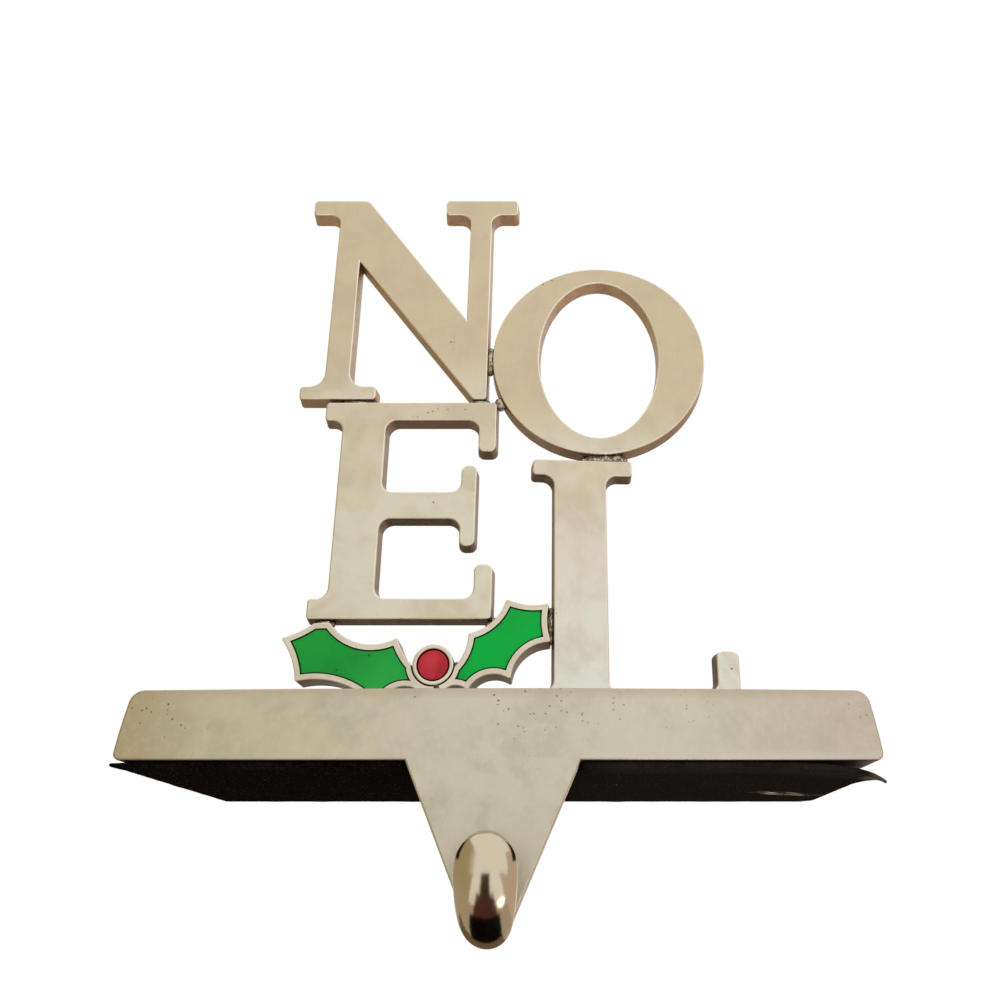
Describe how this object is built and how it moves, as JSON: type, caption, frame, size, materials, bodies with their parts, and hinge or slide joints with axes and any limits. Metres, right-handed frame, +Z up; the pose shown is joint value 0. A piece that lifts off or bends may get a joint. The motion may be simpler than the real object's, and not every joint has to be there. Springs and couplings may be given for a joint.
{
  "type": "mantel stocking holder",
  "caption": "Cast metal shelf-top holder: stacked block letters and a holly sprig on a weighted bar, with a front tab that ends in a hanging hook.",
  "frame": {"origin": "centre of the felt pad's underside, where the holder sits on the shelf", "axes": "+Z up, -Y towards the front with the hook, +X to the right as seen from the front"},
  "size_m": [0.1606, 0.0926, 0.2071],
  "materials": {
    "cast_nickel": "satin",
    "green_enamel": "gloss",
    "red_enamel": "gloss",
    "solder": "polished",
    "felt": "matte"
  },
  "bodies": {
    "root": {"base_casting": "cast_nickel", "letter_n": "cast_nickel", "letter_e": "cast_nickel", "letter_o": "cast_nickel", "letter_l": "cast_nickel", "holly_leaf_left": "cast_nickel", "holly_leaf_right": "cast_nickel", "berry_cup": "cast_nickel", "leaf_enamel_left": "green_enamel", "leaf_enamel_right": "green_enamel", "berry_enamel": "red_enamel", "underside_pad": "felt", "solder_n_foot_e": "solder", "solder_n_point_e": "solder", "solder_n_o": "solder", "solder_e_o": "solder", "solder_o_l": "solder", "solder_e_leaf_left": "solder", "solder_e_leaf_right": "solder", "solder_leaf_l": "solder", "solder_berry_leaf_left": "solder", "solder_berry_leaf_right": "solder", "solder_l_base": "solder", "solder_leaf_base": "solder"}
  },
  "joints": []
}
